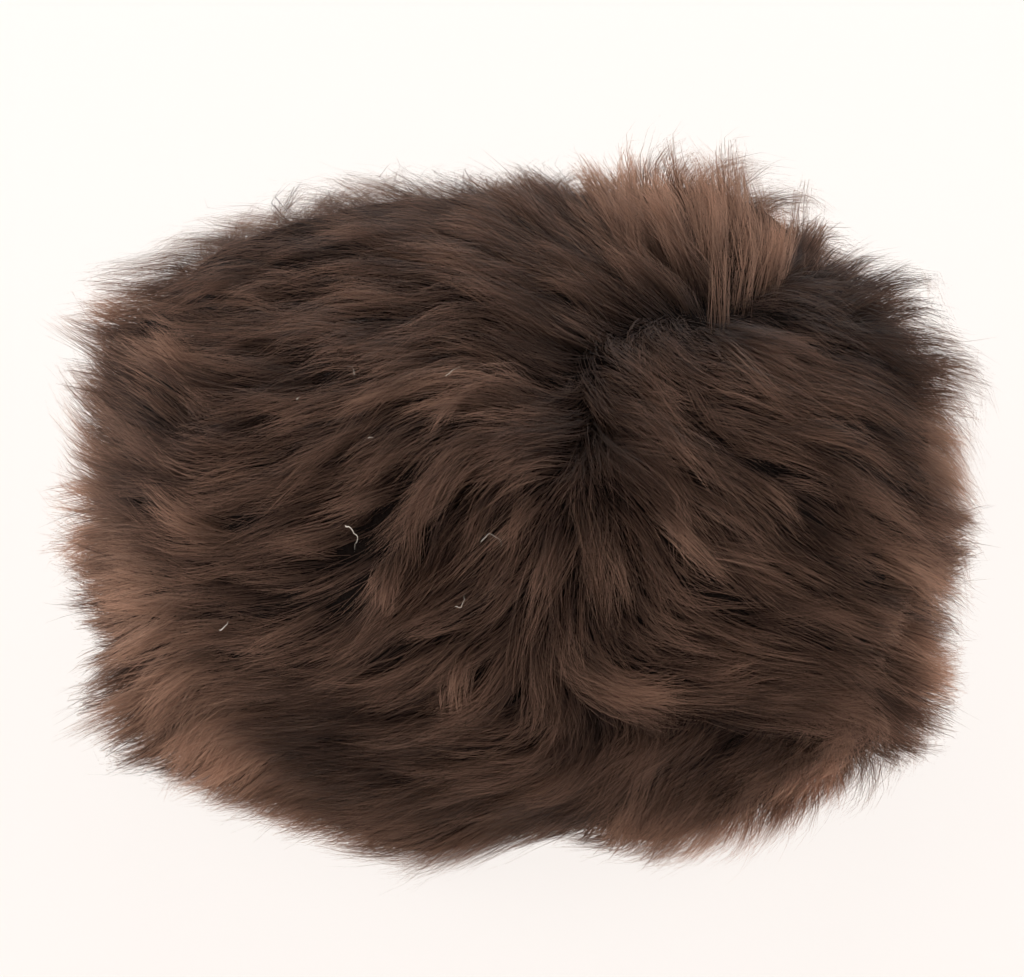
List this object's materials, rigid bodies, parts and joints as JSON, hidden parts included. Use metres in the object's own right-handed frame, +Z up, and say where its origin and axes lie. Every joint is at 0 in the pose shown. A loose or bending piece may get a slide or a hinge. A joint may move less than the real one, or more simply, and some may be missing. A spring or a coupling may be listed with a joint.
{
  "type": "sheepskin telpek hat",
  "caption": "Tall round shaggy sheepskin hat worn wool side out: a soft oval wall pelt with a domed crown pelt sewn on top, open below for the head.",
  "frame": {"origin": "middle of the whole hat's footprint, in the plane the rim stands on", "axes": "+X along the long way of the head oval, to the right in the picture; +Y across it, away from the viewer; +Z up through the crown"},
  "size_m": [0.32, 0.2494, 0.1639],
  "materials": {
    "hide": "tanned skin, flesh side, matt suede",
    "fleece": "long straight dark brown wool, soft sheen"
  },
  "bodies": {
    "root": {"wall_hide": "hide", "crown_hide": "hide", "wall_fleece": "fleece", "crown_fleece": "fleece"}
  },
  "joints": []
}
